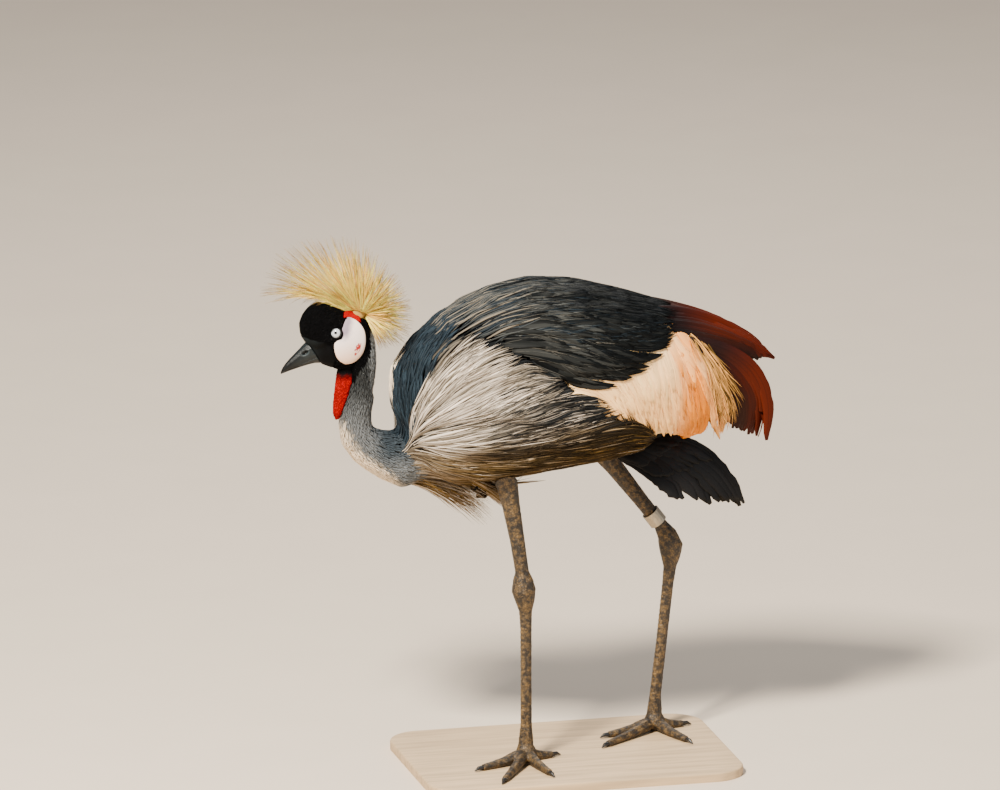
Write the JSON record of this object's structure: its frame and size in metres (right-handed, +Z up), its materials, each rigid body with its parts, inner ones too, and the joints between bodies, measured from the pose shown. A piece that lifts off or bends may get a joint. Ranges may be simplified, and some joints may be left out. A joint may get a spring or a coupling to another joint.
{
  "type": "grey crowned crane",
  "caption": "Life-size still model of a standing grey crowned crane on a plain base, neck drawn back, wings folded, spiny crest, ringed leg.",
  "frame": {"origin": "on the floor under the base, at the middle of the bird's length and width", "axes": "+Z up, the bird faces -X and its left side is -Y"},
  "size_m": [0.6681, 0.29, 0.7154],
  "materials": {
    "black_velvet_plumage": "dense matt velvet-like feathering",
    "bare_cheek_skin": "bare skin, lilac white above and warm white below, a red band on top",
    "bill_horn": "dark slate horn, satin",
    "eye": "pale grey iris, black pupil, wet gloss",
    "crest_bristle": "stiff straw-gold bristles with brown tips",
    "red_skin": "bare pebbled skin, satin",
    "grey_plumage": "fine soft feathering, matt",
    "pale_plumage": "long narrow plumes, matt",
    "slate_plumage": "overlapping feathers, soft sheen",
    "white_plumage": "overlapping feathers, matt",
    "straw_plumage": "loose hair-like plumes, matt",
    "rufous_plumage": "long loose-edged vanes, soft sheen",
    "tail_plumage": "stiff vanes, soft sheen",
    "leg_skin": "scaled skin, dusty matt",
    "claw_horn": "dark horn, satin",
    "band_metal": "worn bare metal",
    "base_wood": "pale plain wood, matt"
  },
  "bodies": {
    "root": {"head": "black_velvet_plumage", "forehead_cushion": "black_velvet_plumage", "bill_upper": "bill_horn", "bill_lower": "bill_horn", "crest": "crest_bristle", "wattle": "red_skin", "neck_upper": "grey_plumage", "neck_lower": "grey_plumage", "torso": "slate_plumage", "tail": "tail_plumage", "leg_band": "band_metal", "stand_base": "base_wood", "cheek_left": "bare_cheek_skin", "eye_left": "eye", "flank_plumes_left": "pale_plumage", "wing_left": "slate_plumage", "white_coverts_left": "white_plumage", "straw_plumes_left": "straw_plumage", "tertials_left": "rufous_plumage", "secondaries_left": "rufous_plumage", "tibia_left": "leg_skin", "ankle_left": "leg_skin", "tarsus_left": "leg_skin", "foot_left": "leg_skin", "toe_inner_left": "leg_skin", "claw_inner_left": "claw_horn", "toe_middle_left": "leg_skin", "claw_middle_left": "claw_horn", "toe_outer_left": "leg_skin", "claw_outer_left": "claw_horn", "toe_hind_left": "leg_skin", "claw_hind_left": "claw_horn", "cheek_right": "bare_cheek_skin", "eye_right": "eye", "flank_plumes_right": "pale_plumage", "wing_right": "slate_plumage", "white_coverts_right": "white_plumage", "straw_plumes_right": "straw_plumage", "tertials_right": "rufous_plumage", "secondaries_right": "rufous_plumage", "tibia_right": "leg_skin", "ankle_right": "leg_skin", "tarsus_right": "leg_skin", "foot_right": "leg_skin", "toe_inner_right": "leg_skin", "claw_inner_right": "claw_horn", "toe_middle_right": "leg_skin", "claw_middle_right": "claw_horn", "toe_outer_right": "leg_skin", "claw_outer_right": "claw_horn", "toe_hind_right": "leg_skin", "claw_hind_right": "claw_horn"}
  },
  "joints": []
}
